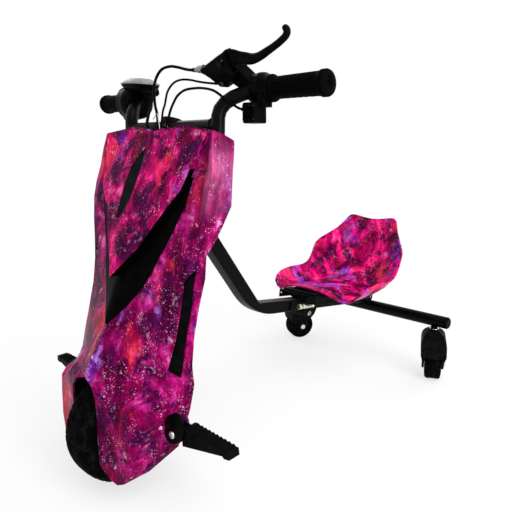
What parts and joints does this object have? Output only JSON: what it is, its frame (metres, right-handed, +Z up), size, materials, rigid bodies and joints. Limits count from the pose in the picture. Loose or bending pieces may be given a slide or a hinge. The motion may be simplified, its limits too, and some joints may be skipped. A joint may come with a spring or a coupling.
{
  "type": "electric drift kart",
  "caption": "Low three-wheeled electric kart with a moulded front fairing around a driven steered wheel, a bent main tube, a bucket seat and two swivel casters on a rear crossbar.",
  "frame": {"origin": "middle of the kart's floor area: halfway along its length and width, on the floor its wheels stand on", "axes": "+X to the rider's left, +Y to the rear, +Z up; the front wheel is at -Y"},
  "size_m": [0.589, 0.8834, 0.7226],
  "materials": {
    "printed_shell": "glossy film print of a nebula, magenta, purple and red-orange with small white stars",
    "black_plastic": "satin black moulding",
    "black_painted_steel": "semi-gloss black powder coat",
    "grip_rubber": "satin black rubber",
    "tyre_rubber": "black, with a shallow tread",
    "bare_aluminium": "cast and machined",
    "zinc_steel": "zinc plated",
    "silver_plastic": "silver paint"
  },
  "bodies": {
    "frame": {"main_tube": "black_painted_steel", "head_tube": "black_painted_steel", "rear_crossbar": "black_painted_steel", "end_cap_left": "black_plastic", "end_cap_right": "black_plastic", "headset_cup_upper": "black_plastic", "headset_cup_lower": "black_plastic"},
    "steering": {"fork_crown": "black_painted_steel", "fork_leg_left": "black_painted_steel", "fork_leg_right": "black_painted_steel", "steerer_tube": "black_painted_steel", "headset_locknut": "zinc_steel", "handlebar": "black_painted_steel", "grip_left": "grip_rubber", "brake_perch": "black_plastic", "barrel_adjuster": "bare_aluminium", "lever_pin": "zinc_steel", "switch_box": "black_plastic", "throttle_housing": "black_plastic", "display_bezel": "silver_plastic", "fairing_left": "printed_shell", "fairing_right": "printed_shell", "hood_panel": "printed_shell", "v_trim": "black_plastic", "hood_vent": "black_plastic", "side_vent_left": "black_plastic", "side_vent_right": "black_plastic", "battery_case": "black_plastic", "controller_case": "bare_aluminium", "peg_bracket_left": "black_painted_steel", "peg_bracket_right": "black_painted_steel", "peg_bolt_left": "zinc_steel", "peg_bolt_right": "zinc_steel", "axle": "zinc_steel", "axle_nut_left": "zinc_steel", "axle_nut_right": "zinc_steel", "brake_caliper": "bare_aluminium", "brake_cable": "grip_rubber", "sensor_cable": "grip_rubber", "switch_cable": "grip_rubber", "throttle_cable": "grip_rubber", "display_cable": "grip_rubber"},
    "front_wheel": {"tyre": "tyre_rubber", "hub_motor": "black_painted_steel", "brake_disc": "zinc_steel"},
    "brake_lever": {"brake_lever": "black_painted_steel"},
    "throttle_grip": {"throttle_grip": "grip_rubber"},
    "switch_rocker": {"switch_rocker": "black_plastic"},
    "peg_left": {"peg_left": "black_plastic"},
    "peg_right": {"peg_right": "black_plastic"},
    "seat": {"seat_shell": "printed_shell", "seat_support": "black_painted_steel", "seat_clamp": "black_painted_steel", "seat_clamp_bolt": "zinc_steel"},
    "caster_left": {"caster_fork_left": "black_plastic", "caster_axle_left": "zinc_steel"},
    "caster_right": {"caster_fork_right": "black_plastic", "caster_axle_right": "zinc_steel"},
    "caster_wheel_left": {"caster_wheel_left": "grip_rubber"},
    "caster_wheel_right": {"caster_wheel_right": "grip_rubber"}
  },
  "joints": [
    {"name": "steering_turn", "type": "hinge", "parent": "frame", "child": "steering", "pos_m": [0, -0.34506, 0.08544], "axis": [0, 0.2224, 0.975], "range_deg": [-60, 60]},
    {"name": "front_wheel_spin", "type": "hinge", "parent": "steering", "child": "front_wheel", "pos_m": [0, -0.34172, 0.10007], "axis": [1, 0, 0], "continuous": true},
    {"name": "brake_lever_pull", "type": "hinge", "parent": "steering", "child": "brake_lever", "pos_m": [0.13, -0.22221, 0.69203], "axis": [0, 0.8558, 0.5173], "range_deg": [0, 15], "stiffness_Nm_per_rad": 2, "springref_deg": -11.46},
    {"name": "throttle_twist", "type": "hinge", "parent": "steering", "child": "throttle_grip", "pos_m": [-0.25, -0.17742, 0.65292], "axis": [-1, 0, 0], "range_deg": [0, 70], "stiffness_Nm_per_rad": 0.2, "springref_deg": -22.92},
    {"name": "switch_rock", "type": "hinge", "parent": "steering", "child": "switch_rocker", "pos_m": [0.166, -0.20768, 0.61581], "axis": [1, 0, 0], "range_deg": [-10, 10]},
    {"name": "peg_left_fold", "type": "hinge", "parent": "steering", "child": "peg_left", "pos_m": [0.14, -0.32993, 0.12875], "axis": [0, -0.9998, -0.0201], "range_deg": [0, 70]},
    {"name": "peg_right_fold", "type": "hinge", "parent": "steering", "child": "peg_right", "pos_m": [-0.14, -0.32993, 0.12875], "axis": [0, 0.9998, 0.0201], "range_deg": [0, 70]},
    {"name": "seat_slide", "type": "slide", "parent": "frame", "child": "seat", "axis": [0, 0.99, -0.1411], "range_m": [-0.08, 0.03]},
    {"name": "caster_left_swivel", "type": "hinge", "parent": "frame", "child": "caster_left", "pos_m": [0.208, 0.41379, 0.00065], "axis": [0, -0.0201, 0.9998], "continuous": true},
    {"name": "caster_right_swivel", "type": "hinge", "parent": "frame", "child": "caster_right", "pos_m": [-0.208, 0.41379, 0.00065], "axis": [0, -0.0201, 0.9998], "continuous": true},
    {"name": "caster_wheel_left_spin", "type": "hinge", "parent": "caster_left", "child": "caster_wheel_left", "pos_m": [0.22207, 0.3854, 0.03909], "axis": [0.891, 0.4539, 0.0091], "continuous": true},
    {"name": "caster_wheel_right_spin", "type": "hinge", "parent": "caster_right", "child": "caster_wheel_right", "pos_m": [-0.22207, 0.3854, 0.03909], "axis": [0.891, -0.4539, -0.0091], "continuous": true}
  ]
}
